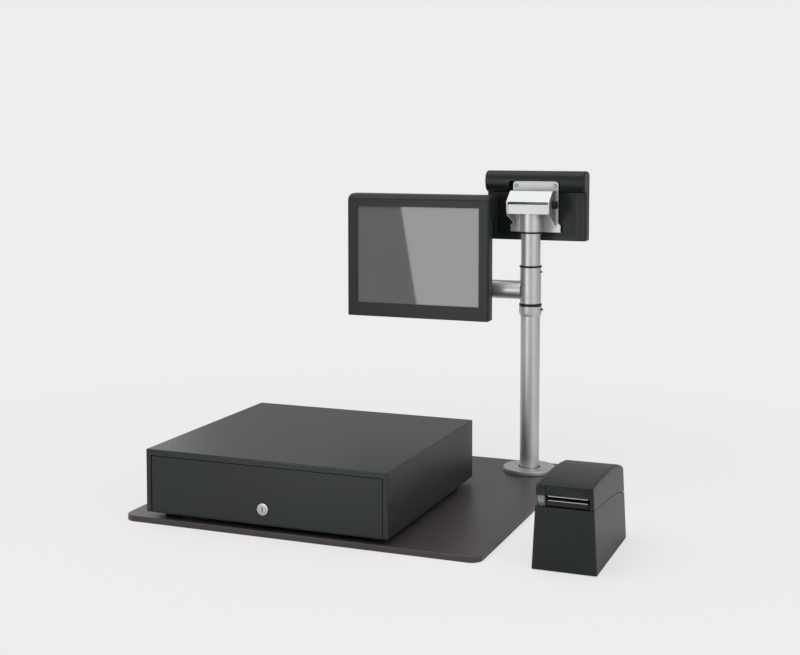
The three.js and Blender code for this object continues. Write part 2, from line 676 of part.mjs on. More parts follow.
function rearCover(size) {
  const deep = size.roll + 1;
  const outer = housingOutline(size, 0, screen.bezel + gap, deep);
  const hollow = housingOutline(size, screen.wall, 0, deep);
  const back = screen.frontReach - size.depth;
  const seat = bracket.plane + bracket.sheet + gap;
  const bosses = [];
  const threads = [];
  for (const x of [-1, 1]) {
    for (const z of [-1, 1]) {
      const [u, v] = [x * bracket.holes / 2, z * bracket.holes / 2 - screen.belowTilt];
      bosses.push(bar('y', screen.boss, seat, back + 1, u, v, 16));
      threads.push(bar('y', bracket.hole - 0.6, seat - 1, back + 4, u, v, 12));
    }
  }
  const margin = 3;
  const pocket = box(-bracket.lowerHalf - margin, bracket.lowerHalf + margin,
    -size.roll, back, -size.height, bracket.above + margin);
  const inner = cut(hollow, box(-bracket.lowerHalf - margin - 2, bracket.lowerHalf + margin + 2,
    -size.roll, back + screen.wall, -size.height, bracket.above + margin + 2));
  const low = -size.height / 2 - screen.belowTilt;
  const sockets = box(-40, 40, back + screen.wall + 2, screen.frontReach - screen.bezel - 2,
    low - 1, low + screen.wall + 1);
  return cut(join(cut(outer, pocket, inner), ...bosses), ...threads, sockets);
}

function glassPane(size) {
  return windowOf(size, screen.lap, screen.wall + gap, screen.wall + gap + screen.glass);
}

function displayPanel(size) {
  const start = screen.wall + screen.glass + 2 * gap;
  const slab = windowOf(size, 3, start, start + 8);
  const board = windowOf(size, -8, start + 7, size.depth - screen.wall - 1);
  return join(slab, board);
}

function screenSet(name, size, sleeveBelow, tubeRadius) {
  const left = blackPlastic(`${name}_thumb_screw_left`, thumbScrew(-1));
  const right = blackPlastic(`${name}_thumb_screw_right`, thumbScrew(1));
  return placed(
    0, 0, 0,
    satinAluminium(`${name}_swivel_head`, swivelHead(sleeveBelow, tubeRadius)),
    satinAluminium(`${name}_bracket`, tiltBracket()),
    left, right,
    darkPlastic(`${name}_bezel`, frontBezel(size)),
    glassy(`${name}_glass`, glassPane(size)),
    darkSteel(`${name}_panel`, displayPanel(size)),
    darkPlastic(`${name}_rear_cover`, rearCover(size)),
  );
}

const customer = screenSet('customer', customerScreen, head.sleeveBelow, pole.radius);
customer.position.set(poleX, poleY, plate.thickness + pole.tiltHeight);

const operatorTilt = armZ + arm.tiltAbove;
const operator = screenSet('operator', operatorScreen,
  operatorTilt - armRingLow - ring.thin - gap, arm.tube);
operator.position.set(poleX - arm.reach, poleY, plate.thickness + operatorTilt);
operator.rotation.z = Math.PI;

register.add(customer, operator);

// ---------------------------------------------------------------- receipt printer
// Its own frame: the origin is the front left lower corner of its housing.

const leftAt = (z, inset = 0) => printer.taper * z / printer.taperHeight + inset;
const frontAt = (z) => printer.lean * z / printer.taperHeight;

// Front view outline of the tapering housing, in (x, z).
function taperedSection(inset, z0, z1) {
  return polygon([leftAt(z0, inset), z0], [printer.width - leftAt(z0, inset), z0],
    [printer.width - leftAt(z1, inset), z1], [leftAt(z1, inset), z1]);
}

// The seam between the body and the cover falls towards the back.
function seamLine(shape, drop, backwards) {
  const { depth, seamFront, seamBack } = printer;
  const front = [frontAt(seamFront), seamFront - drop];
  const knee = [0.62 * depth, seamFront - 8 - drop];
  const back = [depth - printer.lean * 0.8, seamBack - drop];
  if (backwards) {
    shape.lineTo(...back);
    shape.quadraticCurveTo(knee[0] + 14, knee[1] - 2, ...knee);
    shape.quadraticCurveTo(0.3 * depth, seamFront - 3 - drop, ...front);
  } else {
    shape.quadraticCurveTo(0.3 * depth, seamFront - 3 - drop, ...knee);
    shape.quadraticCurveTo(knee[0] + 14, knee[1] - 2, ...back);
  }
}

function bodySide(inset, low, extra) {
  const shape = new THREE.Shape();
  shape.moveTo(inset, low);
  shape.lineTo(printer.depth - inset, low);
  if (extra) {
    shape.lineTo(printer.depth - printer.lean - inset, printer.top);
    shape.lineTo(frontAt(printer.top) + inset, printer.top);
  } else {
    seamLine(shape, 0.4, true);
  }
  return shape;
}

function coverSide(inset) {
  const { depth, top, topFront, topBack, seamFront, seamBack, lean } = printer;
  const back = depth - lean * 0.8 - inset;
  const shape = new THREE.Shape();
  if (inset) {
    shape.moveTo(frontAt(seamFront) + inset, 0);
    shape.lineTo(back, 0);
  } else {
    shape.moveTo(frontAt(seamFront), seamFront);
    seamLine(shape, 0, false);
  }
  shape.lineTo(back - 0.6, seamBack + 10);
  shape.lineTo(back - 1.4, topBack - 8 - inset);
  shape.quadraticCurveTo(back - 2, topBack - inset, back - 12, topBack + 3.5 - inset);
  shape.quadraticCurveTo(0.72 * depth, top - 2 - inset, 0.42 * depth, top - 0.4 - inset);
  shape.quadraticCurveTo(0.2 * depth, top + 0.3 - inset, frontAt(topFront) + 3, topFront + 0.6 - inset);
  shape.quadraticCurveTo(frontAt(topFront) + inset, topFront - inset, frontAt(topFront) + inset,
    topFront - 2.5 - inset);
  return shape;
}

const hingeY = printer.depth - printer.hingeInset;
const hingeZ = printer.seamBack + printer.hingeUp;

function printerBody() {
  const { width, depth, wall, underBody, top } = printer;
  const outer = prism('y', taperedSection(0, underBody, top), 0, depth)
    .intersect(prism('x', bodySide(0, underBody, false), -1, width + 1));
  const hollow = prism('y', taperedSection(wall, -1, top + 1), wall, depth - wall)
    .intersect(prism('x', bodySide(wall, -1, true), -1, width + 1));
  const backNotch = box(-1, width + 1, depth - 8, depth + 1, printer.seamBack - 1.6, printer.seamBack + 6);
  const switchHole = box(width - rocker.fromRight - rocker.width - gap, width - rocker.fromRight + gap,
    depth - 12, depth + 1, rocker.z - rocker.height / 2 - 1.6, rocker.z + rocker.height / 2 + 1.6);
  const sockets = box(16, 56, depth - 12, depth + 1, 10, 30);
  const hingeEars = [14, width - 17].map((x) => box(x, x + 3, hingeY - 5, depth - wall + 0.4,
    hingeZ - 16, hingeZ + 2.5));
  const clearBack = box(-1, width + 1, hingeY - printer.hingeSwing, depth + 1,
    printer.seamBack - 1.6, hingeZ + 9);
  const ears = hingeEars.map((ear) => cut(ear, clearBack));
  const pinHole = bar('x', 1.9, 8, width - 8, hingeY - 4, hingeZ - 8, 12);
  return cut(join(cut(outer, hollow, backNotch), ...ears), switchHole, sockets, pinHole);
}

function printerCover() {
  const { width, depth, wall, lipLow } = printer;
  const outer = prism('y', taperedSection(0, 40, printer.top + 4), 0, depth)
    .intersect(prism('x', coverSide(0), -1, width + 1, 8));
  const hollow = prism('y', taperedSection(wall, 0, printer.top + 4), 0, depth)
    .intersect(prism('x', coverSide(wall), -1, width + 1, 8));
  const mouth = box(-1, width - printer.mouthRight, -1, 14, printer.seamFront - 1, lipLow);
  const lugs = [14, width - 13.5].map((x) => box(x, x + 3, platen.fromFront - 6, platen.fromFront + 6,
    platen.height - 5, printer.top - wall));
  const shaftHole = bar('x', platen.shaft + gap, 10, width - 8, platen.fromFront, platen.height, 16);
  return cut(join(cut(outer, hollow, mouth), ...lugs), shaftHole);
}

function printerBase() {
  const { width, depth, wall, floor } = printer;
  const inset = wall + 0.7;
  const pan = prism('z', roundedRectangle(inset, width - inset, inset, depth - inset, 3), 0, floor);
  const left = paper.fromLeft - 4.5;
  const right = paper.fromLeft + paper.width + 2;
  const uprights = [left, right].map((x) => box(x, x + 2.5, 8, 34, floor - 1, lever.pivotZ + 4));
  const centreZ = floor + paper.radius + paper.trough + 1;
  const block = box(left, right + 2.5, paper.fromFront - paper.radius - 1, paper.fromFront + paper.radius + 1,
    floor - 1, centreZ - 10);
  const roll = bar('x', paper.radius + 0.6, left - 1, right + 4, paper.fromFront, centreZ, 40);
  const pinHole = bar('x', lever.pin + gap, left - 1, left + 4, lever.pivotY, lever.pivotZ, 16);
  return cut(join(pan, ...uprights, cut(block, roll)), pinHole);
}

function paperRoll() {
  const { width, radius, core, fromLeft, fromFront } = paper;
  const z = printer.floor + radius + paper.trough + 1;
  return cut(bar('x', radius, fromLeft, fromLeft + width, fromFront, z, 40),
    bar('x', core, fromLeft - 1, fromLeft + width + 1, fromFront, z, 20));
}

function printHead() {
  const left = paper.fromLeft - 1.5;
  const top = platen.height - platen.radius - 0.4;
  return box(left, left + paper.width + 3, 4.8, 32, printer.seamFront + 0.8, top);
}

function platenRoller() {
  const { radius, shaft, fromFront, height, overlap } = platen;
  const [x0, x1] = [paper.fromLeft - overlap, paper.fromLeft + paper.width + overlap];
  const roller = bar('x', radius, x0, x1, fromFront, height, 24);
  return join(roller, bar('x', shaft, 12.5, 91, fromFront, height, 16));
}

function releaseLever() {
  const { left, width, front, depth, low, high, pivotY, pivotZ, pin } = lever;
  const tab = prism('y', roundedRectangle(left, left + width, low, high, 1.5), front, front + depth);
  const blade = box(left, left + width, front + 4, pivotY + 4, pivotZ - 3, low + 1);
  const shank = bar('x', pin, left + 1, paper.fromLeft - 2.2, pivotY, pivotZ, 16);
  return join(tab, blade, shank);
}

function powerRocker() {
  const x1 = printer.width - rocker.fromRight;
  const back = printer.depth + rocker.out;
  const half = rocker.height / 2;
  const outline = polygon([back - rocker.depth, rocker.z - half], [back - 1.6, rocker.z - half],
    [back - 0.9, rocker.z], [back, rocker.z + half], [back - rocker.depth, rocker.z + half]);
  return prism('x', outline, x1 - rocker.width, x1);
}

const slotLow = platen.height - platen.radius - 0.4 + gap;
const slotLeft = paper.fromLeft - 1;
const slotRight = paper.fromLeft + paper.width + 1;

register.add(placed(
  plate.width / 2 + printer.fromPlate, -plate.depth / 2 + printer.fromFront, 0,
  blackPlastic('printer_base', printerBase()),
  darkPlastic('printer_body', printerBody()),
  darkPlastic('printer_cover', printerCover()),
  rubber('platen_roller', platenRoller()),
  blackPlastic('print_head', printHead()),
  zinc('paper_guide', box(slotLeft, slotRight, 3.2, 12, slotLow, slotLow + 1.5)),
  zinc('tear_bar', box(slotLeft, slotRight, 3.2, 12, printer.lipLow - gap - 1.6, printer.lipLow - gap)),
  paperWhite('paper_roll', paperRoll()),
  greyPlastic('release_lever', releaseLever()),
  blackPlastic('power_rocker', powerRocker()),
));

export default register;
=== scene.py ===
"""A modular cash register: a drawer unit and a display pole on a base plate, with a printer beside it.

Everything is in metres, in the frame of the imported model.
"""
import json
import math

import bmesh
import bpy
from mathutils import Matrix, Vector


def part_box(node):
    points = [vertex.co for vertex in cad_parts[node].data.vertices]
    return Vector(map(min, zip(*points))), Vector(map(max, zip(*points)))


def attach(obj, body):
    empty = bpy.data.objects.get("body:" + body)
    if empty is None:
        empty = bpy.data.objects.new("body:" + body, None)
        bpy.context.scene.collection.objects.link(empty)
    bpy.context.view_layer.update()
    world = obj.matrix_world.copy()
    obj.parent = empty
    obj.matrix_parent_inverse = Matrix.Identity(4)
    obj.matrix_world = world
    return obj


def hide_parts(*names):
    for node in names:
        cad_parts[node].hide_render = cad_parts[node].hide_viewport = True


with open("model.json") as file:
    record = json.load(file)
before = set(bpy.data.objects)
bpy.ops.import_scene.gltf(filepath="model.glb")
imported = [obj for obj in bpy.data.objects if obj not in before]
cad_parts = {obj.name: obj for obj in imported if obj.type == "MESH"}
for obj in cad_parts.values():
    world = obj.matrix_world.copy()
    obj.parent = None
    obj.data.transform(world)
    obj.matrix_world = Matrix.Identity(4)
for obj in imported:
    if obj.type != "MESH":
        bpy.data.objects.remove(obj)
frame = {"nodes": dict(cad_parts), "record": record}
nodes = frame["nodes"]
node_body = {n: body for body, members in frame["record"]["behaviour"]["bodies"].items() for n in members}
node_slot = {s["node"]: s["material_slot"] for s in frame["record"]["subparts"]}
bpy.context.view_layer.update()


def mm(length):
    """Millimetres as metres."""
    return length / 1000


WELD = 1e-6  # points nearer than this are one point
BEYOND = 0.1  # how far a cutting block runs past the piece that it cuts
POLE_BORE = mm(18.3)  # the inner radius of the pieces that go round the pole
POLE_FACETS = 96
TILT_RISE = mm(53)  # the tilt axis over the foot of a bracket


# ---------------------------------------------------------------- camera

def make_camera():
    """A long lens, a little above the object's middle, that looks slightly down and to the left."""
    look_down, look_left = 4.14, 21.537
    data = bpy.data.cameras.new("camera")
    data.sensor_width = 36
    data.lens = 59.73
    data.shift_y = -0.12
    data.clip_end = 50
    camera = bpy.data.objects.new("camera", data)
    camera.location = (0.9163, -2.1551, 0.6411)
    camera.rotation_euler = (math.radians(90 - look_down), 0, math.radians(look_left))
    bpy.context.scene.collection.objects.link(camera)
    bpy.context.scene.camera = camera


make_camera()


# ---------------------------------------------------------------- materials

def new_material(name, colour, roughness, metallic=0.0, specular=0.5):
    """A plain material, returned with its node tree and its shader."""
    made = bpy.data.materials.new(name)
    made.use_nodes = True
    shader = made.node_tree.nodes["Principled BSDF"]
    shader.inputs["Base Color"].default_value = (*colour, 1)
    shader.inputs["Roughness"].default_value = roughness
    shader.inputs["Metallic"].default_value = metallic
    shader.inputs["Specular IOR Level"].default_value = specular
    return made, made.node_tree, shader


def noise(tree, scale, detail=4.0, stretch=(1, 1, 1)):
    """A noise in object space, stretched along an axis where a scale is small."""
    place = tree.nodes.new("ShaderNodeTexCoord")
    mapping = tree.nodes.new("ShaderNodeMapping")
    mapping.inputs["Scale"].default_value = stretch
    texture = tree.nodes.new("ShaderNodeTexNoise")
    texture.inputs["Scale"].default_value = scale
    texture.inputs["Detail"].default_value = detail
    tree.links.new(place.outputs["Object"], mapping.inputs["Vector"])
    tree.links.new(mapping.outputs["Vector"], texture.inputs["Vector"])
    return texture.outputs["Fac"]


def ranged(tree, source, low, high, from_low=0.3, from_high=0.7):
    """The source's values from from_low to from_high, spread over low to high."""
    node = tree.nodes.new("ShaderNodeMapRange")
    node.inputs["From Min"].default_value = from_low
    node.inputs["From Max"].default_value = from_high
    node.inputs["To Min"].default_value = low
    node.inputs["To Max"].default_value = high
    tree.links.new(source, node.inputs["Value"])
    return node.outputs["Result"]


def blended(tree, amount, first, second):
    """A colour that runs from first to second; either may be a colour or another node's output."""
    node = tree.nodes.new("ShaderNodeMix")
    node.data_type = "RGBA"
    tree.links.new(amount, node.inputs["Factor"])
    for value, socket in ((first, node.inputs["A"]), (second, node.inputs["B"])):
        if isinstance(value, tuple):
            socket.default_value = (*value, 1)
        else:
            tree.links.new(value, socket)
    return node.outputs["Result"]


def shade(colour, factor):
    """The colour made lighter or darker by a factor."""
    return tuple(min(1, c * factor) for c in colour)


def textured(name, colour, roughness, grain, bump, metallic=0.0, mottle=0.08, rub=0.0,
             stretch=(1, 1, 1), specular=0.5):
    """A surface with a fine grain in its bump and roughness, a slow drift of tone, and rubbed edges."""
    drift_scale, grain_spread, rubbed_paler = 6, 0.14, 2.4
    edge_start, edge_full = 0.52, 0.6
    made, tree, shader = new_material(name, colour, roughness, metallic, specular)
    fine = noise(tree, grain, 3, stretch)
    slow = noise(tree, drift_scale, 3)
    tone = blended(tree, ranged(tree, slow, 0, 1), shade(colour, 1 - mottle), shade(colour, 1 + mottle))
    if rub:
        shape = tree.nodes.new("ShaderNodeNewGeometry")
        worn = ranged(tree, shape.outputs["Pointiness"], 0, rub, edge_start, edge_full)
        tone = blended(tree, worn, tone, shade(colour, rubbed_paler))
    tree.links.new(tone, shader.inputs["Base Color"])
    rough = ranged(tree, fine, roughness * (1 - grain_spread), roughness * (1 + grain_spread))
    tree.links.new(rough, shader.inputs["Roughness"])
    relief = tree.nodes.new("ShaderNodeBump")
    relief.inputs["Strength"].default_value = bump
    relief.inputs["Distance"].default_value = mm(0.15)
    tree.links.new(fine, relief.inputs["Height"])
    tree.links.new(relief.outputs["Normal"], shader.inputs["Normal"])
    return made


STEEL_GREY = (0.46, 0.475, 0.47)
ALUMINIUM = (0.57, 0.59, 0.58)
CHARCOAL = (0.0138, 0.0182, 0.0192)
GRAPHITE = (0.0085, 0.0115, 0.0120)

MATERIALS = {
    "dark_steel": textured("powder_coat", CHARCOAL, 0.34, 1500, 0.3, rub=0.9, specular=0.32),
    "plate_paint": textured("plate_lacquer", (0.047, 0.040, 0.040), 0.36, 1100, 0.25, rub=1.0, specular=0.35),
    "zinc_steel": textured("bright_zinc", STEEL_GREY, 0.38, 900, 0.12, metallic=1.0, mottle=0.05),
    "satin_aluminium": textured("satin_anodised", ALUMINIUM, 0.46, 1800, 0.14, metallic=1.0, mottle=0.03,
                                stretch=(1, 1, 0.06)),
    "dark_plastic": textured("textured_plastic", GRAPHITE, 0.36, 1700, 0.4, rub=0.8, specular=0.26),
    "black_plastic": textured("black_plastic", (0.006, 0.007, 0.007), 0.42, 1500, 0.4, rub=0.3, specular=0.3),
    "grey_plastic": textured("grey_plastic", (0.21, 0.235, 0.235), 0.42, 1500, 0.3, rub=0.2),
    "black_rubber": textured("black_rubber", (0.008, 0.008, 0.008), 0.8, 1200, 0.6, mottle=0.2, specular=0.3),
    "screen_glass": textured("touch_glass", (0.142, 0.142, 0.142), 0.03, 500, 0.004, mottle=0.02),
    "panel": textured("display_module", (0.02, 0.02, 0.022), 0.5, 900, 0.2),
    "paper": textured("thermal_paper", (0.85, 0.84, 0.8), 0.85, 2600, 0.5, mottle=0.02),
}


# ---------------------------------------------------------------- mesh tools

def finish_mesh(name, bm, node, sharp=32, finish=None):
    """Shades a mesh smooth up to the sharp angle, gives it a material, and sets it riding with its node."""
    slot = finish or node_slot[node]
    bmesh.ops.remove_doubles(bm, verts=bm.verts, dist=WELD)
    bmesh.ops.recalc_face_normals(bm, faces=bm.faces)
    limit = math.radians(sharp)
    for face in bm.faces:
        face.smooth = True
    for edge in bm.edges:
        edge.smooth = len(edge.link_faces) == 2 and edge.calc_face_angle(0) < limit
    mesh = bpy.data.meshes.new(name)
    bm.to_mesh(mesh)
    bm.free()
    piece = bpy.data.objects.new(name, mesh)
    bpy.context.scene.collection.objects.link(piece)
    weigh = piece.modifiers.new("weigh", "WEIGHTED_NORMAL")
    weigh.keep_sharp = True
    piece.data.materials.append(MATERIALS[slot])
    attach(piece, node_body[node])
    return piece


def stand_for(name, bm, node, sharp=32):
    """A finished mesh that is shown in place of the node."""
    piece = finish_mesh(name, bm, node, sharp)
    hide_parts(node)
    return piece


def add_loops(bm, loops, closed_start=True, closed_end=True):
    """A skin over loops that all have the same number of points."""
    rows = [[bm.verts.new(p) for p in loop] for loop in loops]
    count = len(rows[0])
    for low, high in zip(rows, rows[1:]):
        for n in range(count):
            bm.faces.new((low[n], low[(n + 1) % count], high[(n + 1) % count], high[n]))
    if closed_start:
        bm.faces.new(rows[0])
    if closed_end:
        bm.faces.new(rows[-1])
    return bm


def skin(loops, closed_start=True, closed_end=True):
    """A new bmesh over the loops."""
    return add_loops(bmesh.new(), loops, closed_start, closed_end)


def arc(u, v, radius, start, steps=6):
    """Points along a quarter circle round (u, v), from the start angle in degrees."""
    turn = [math.radians(start + 90 * k / steps) for k in range(steps + 1)]
    return [(u + radius * math.cos(a), v + radius * math.sin(a)) for a in turn]


def rounded(u0, u1, v0, v1, radius):
    """Points round a rectangle with round corners, the same number for any size."""
    return (arc(u1 - radius, v0 + radius, radius, -90) + arc(u1 - radius, v1 - radius, radius, 0)
            + arc(u0 + radius, v1 - radius, radius, 90) + arc(u0 + radius, v0 + radius, radius, 180))


def rounding(start, end, radius, steps=4):
    """Places and insets along a prism whose two ends have rounded edges."""
    turn = [math.radians(90 * k / steps) for k in range(steps + 1)]
    first = [(start + radius * (1 - math.sin(a)), radius * (1 - math.cos(a))) for a in reversed(turn)]
    last = [(end - radius * (1 - math.sin(a)), radius * (1 - math.cos(a))) for a in turn]
    return first + last


def along(axis, place, u, v):
    """The point at a place on the axis, with u and v on the other two axes in order."""
    return {"x": (place, u, v), "y": (u, place, v), "z": (u, v, place)}[axis]


def rounded_block(axis, box, corner, edge):
    """Loops of a block whose cross-section has round corners, and whose ends have rounded edges."""
    low, high = box
    n = "xyz".index(axis)
    a, b = (other for other in range(3) if other != n)
    least_corner = mm(0.05)
    loops = []
    for place, inset in rounding(low[n], high[n], edge):
        ring = rounded(low[a] + inset, high[a] - inset, low[b] + inset, high[b] - inset,
                       max(corner - inset, least_corner))
        loops.append([along(axis, place, u, v) for u, v in ring])
    return loops


def circle(axis, place, radius, u, v, facets=72):
    turn = [2 * math.pi * k / facets for k in range(facets)]
    return [along(axis, place, u + radius * math.cos(a), v + radius * math.sin(a)) for a in turn]


def turned(axis, profile, u, v, closed=True, facets=72):
    """A body of revolution from (place, radius) points; an open one is a ring, closed on itself."""
    loops = [circle(axis, place, radius, u, v, facets) for place, radius in profile]
    if closed:
        return skin(loops)
    return skin(loops + [loops[0]], False, False)


def ring_profile(z0, z1, outer, inner, edge):
    """The (place, radius) points of a ring whose outer edges are rounded."""
    eased = edge * 0.3
    return [(z0, inner), (z0, outer - edge), (z0 + eased, outer - eased), (z0 + edge, outer),
            (z1 - edge, outer), (z1 - eased, outer - eased), (z1, outer - edge), (z1, inner)]


def prism_x(points, x0, x1):
    """A prism along X over (y, z) points."""
    return skin([[(x, y, z) for y, z in points] for x in (x0, x1)])


def block(low, high):
    """A plain box between two corners."""
    (x0, y0, z0), (x1, y1, z1) = low, high
    ring = ((x0, y0), (x1, y0), (x1, y1), (x0, y1))
    return skin([[(x, y, z0) for x, y in ring], [(x, y, z1) for x, y in ring]])


def boolean(bm, tool, operation="DIFFERENCE"):
    """bm cut by, joined to or kept inside tool; both bmeshes are used up."""
    pair = []
    for source in (bm, tool):
        bmesh.ops.recalc_face_normals(source, faces=source.faces)
        mesh = bpy.data.meshes.new("work")
        source.to_mesh(mesh)
        source.free()
        pair.append(bpy.data.objects.new("work", mesh))
        bpy.context.scene.collection.objects.link(pair[-1])
    body, cutter = pair
    step = body.modifiers.new("step", "BOOLEAN")
    step.operation = operation
    step.solver = "EXACT"
    step.object = cutter
    bpy.context.view_layer.update()
    result = body.evaluated_get(bpy.context.evaluated_depsgraph_get()).to_mesh()
    out = bmesh.new()
    out.from_mesh(result)
    for work in pair:
        bpy.data.objects.remove(work)
    return out


def bevelled(bm, width, angle=28):
    """Rounds the edges of a cut body that turn by more than the angle."""
    bmesh.ops.remove_doubles(bm, verts=bm.verts, dist=WELD)
    bmesh.ops.dissolve_limit(bm, angle_limit=math.radians(1), verts=bm.verts, edges=bm.edges)
    edges = [e for e in bm.edges if len(e.link_faces) == 2 and e.calc_face_angle(0) > math.radians(angle)]
    bmesh.ops.bevel(bm, geom=edges, offset=width, segments=2, profile=0.5, affect="EDGES",
                    clamp_overlap=True)
    return bm


def copy_of(node):
    """The node's own mesh as a bmesh."""
    bm = bmesh.new()
    bm.from_mesh(nodes[node].data)
    bmesh.ops.remove_doubles(bm, verts=bm.verts, dist=WELD)
    return bm


def softened(node, width):
    """A piece of the node's own shape with its edges rounded, as a folded or moulded part has."""
    stand_for(f"{node}_shell", bevelled(copy_of(node), width), node)


def axis_of(node):
    """The x and y of the upright line through the middle of a node."""
    low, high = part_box(node)
    return (low.x + high.x) / 2, (low.y + high.y) / 2


# ---------------------------------------------------------------- base plate and drawer unit

def base_plate():
    """A flat steel sheet with round corners and a slightly rounded edge."""
    corner, edge = mm(19), mm(1.1)
    stand_for("plate_slab", skin(rounded_block("z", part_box("base_plate"), corner, edge)), "base_plate")


def cabinet():
    """The folded case: rounded outside, with a frame round its mouth and a hollow behind the frame."""
    low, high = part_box("drawer_cabinet")
    wall, frame_side, frame_top, frame_depth = mm(1.5), mm(8.5), mm(10), mm(14)
    edge, corner, least_corner, inner_corner = mm(1.4), mm(1.8), mm(0.4), mm(0.6)
    sill, lead_in = mm(0.35), mm(0.3)

    def ring(place, left, right, bottom, top, radius):
        return [(x, place, z) for x, z in rounded(left, right, bottom, top, radius)]

    loops = []
    for place, inset in reversed(rounding(low.y, high.y, edge)):
        loops.append(ring(place, low.x + inset, high.x - inset, low.z + inset, high.z - inset,
                          max(corner - inset, least_corner)))
    left, right, bottom, top = low.x + frame_side, high.x - frame_side, low.z + sill, high.z - frame_top
    mouth = (left, right, bottom, top, inner_corner)
    hollow = (low.x + wall, high.x - wall, low.z + wall, high.z - wall, inner_corner)
    loops.append(ring(low.y, left - lead_in, right + lead_in, bottom, top + lead_in, inner_corner))
    loops.append(ring(low.y + lead_in, *mouth))
    loops.append(ring(low.y + frame_depth, *mouth))
    loops.append(ring(low.y + frame_depth, *hollow))
    loops.append(ring(high.y - wall, *hollow))
    stand_for("cabinet_shell", skin(loops), "drawer_cabinet")


def drawer_front():
    """The folded front panel: a face with rounded edges, and flanges turned back all round it."""
    low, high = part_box("drawer_front")
    sheet, edge, corner, least_corner, inner_corner = mm(1.5), mm(0.9), mm(1.2), mm(0.2), mm(0.3)
    stations = rounding(low.y, high.y, edge)
    front_edge = stations[:len(stations) // 2]
    loops = []
    for place, inset in front_edge:
        face = rounded(low.x + inset, high.x - inset, low.z + inset, high.z - inset,
                       max(corner - inset, least_corner))
        loops.append([(x, place, z) for x, z in face])
    outer = rounded(low.x, high.x, low.z, high.z, corner)
    inner = rounded(low.x + sheet, high.x - sheet, low.z + sheet, high.z - sheet, inner_corner)
    for place, outline in ((high.y, outer), (high.y, inner), (low.y + sheet, inner)):
        loops.append([(x, place, z) for x, z in outline])
    stand_for("drawer_panel", skin(loops), "drawer_front")


def lock():
    """A bright rose with the plug's face flush in it, and the key slot down the plug's face, made dark by a
    black sheet just inside it as painted shade.
    """
    low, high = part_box("lock_collar")
    u, v = (low.x + high.x) / 2, (low.z + high.z) / 2
    bore, barrel, collar, neck, thick = mm(6.35), mm(6.2), mm(10), mm(8.4), mm(3.2)
    profile = [
        (low.y + mm(0.1), bore), (low.y, bore + mm(0.15)), (low.y, collar - mm(1.6)),
        (low.y + mm(0.3), collar - mm(0.6)), (low.y + mm(1.1), collar), (low.y + thick, collar),
        (low.y + thick, neck), (high.y, neck), (high.y, bore),
    ]
    stand_for("lock_rose", turned("y", profile, u, v, closed=False), "lock_collar")

    face, back = (corner.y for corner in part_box("lock_plug"))
    chamfer = mm(0.3)
    bm = skin([circle("y", y, r, u, v) for y, r in (
        (face, barrel - chamfer), (face + chamfer, barrel), (back, barrel))])
    half_slot, slot_below, slot_depth, clear = mm(0.95), mm(4.4), mm(7), mm(0.02)
    slot_above = slot_below * 0.9
    slot = block((u - half_slot, face - mm(1), v - slot_below),
                 (u + half_slot, face + slot_depth, v + slot_above))
    stand_for("lock_barrel", bevelled(boolean(bm, slot), mm(0.12), 40), "lock_plug")
    # painted shade: a thin black sheet set just inside the key slot stands in for the shade deep in the
    # keyway
    shade_sheet_front, shade_sheet_back = face + mm(0.35), face + mm(0.8)
    shade_sheet = block((u - half_slot + clear, shade_sheet_front, v - slot_below + clear),
                    (u + half_slot - clear, shade_sheet_back, v + slot_above - clear))
    finish_mesh("lock_slot_shade_sheet", bevelled(shade_sheet, mm(0.08), 40), "lock_plug", finish="black_plastic")


def feet():
    """Four rubber feet, each a ring round its screw."""
    bore, edge = mm(2), mm(1.2)
    for place in ("front_left", "front_right", "rear_left", "rear_right"):
        node = f"foot_{place}"
        low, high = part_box(node)
        profile = ring_profile(low.z, high.z, (high.x - low.x) / 2, bore, edge)
        stand_for(f"{node}_pad", turned("z", profile, *axis_of(node), closed=False), node)


# ---------------------------------------------------------------- pole, rings and arm

def turned_on_axis(name, node, profile):
    """An upright body of revolution that stands for the node, on the node's own axis."""
    stand_for(name, turned("z", profile, *axis_of(node), closed=False, facets=POLE_FACETS), node)


def round_part(node, inner, edge):
    """A ring or tube of the node's own height and outer size."""
    low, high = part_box(node)
    turned_on_axis(f"{node}_turned", node, ring_profile(low.z, high.z, (high.y - low.y) / 2, inner, edge))


def pole():
    """The flange, the tube, the rings and the clamp, whose lower end tapers."""
    ring_edge = mm(0.9)
    round_part("pole_flange", mm(20.5), mm(1.4))
    round_part("pole_tube", mm(15), mm(0.5))
    for node in ("ring_below_arm", "ring_above_arm", "ring_below_head"):
        round_part(node, POLE_BORE, ring_edge)
    round_part("arm_end_ring", mm(17.5), ring_edge)

    low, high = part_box("clamp_collar")
    radius = (high.x - low.x) / 2
    narrow, taper, edge, low_edge = mm(19.2), mm(6), mm(0.8), mm(0.3)
    turned_on_axis("clamp_turned", "clamp_collar", [
        (low.z, POLE_BORE), (low.z, mm(18.8)), (low.z + low_edge, narrow), (low.z + taper, radius),
        (high.z - edge, radius), (high.z, radius - edge), (high.z, POLE_BORE),
    ])


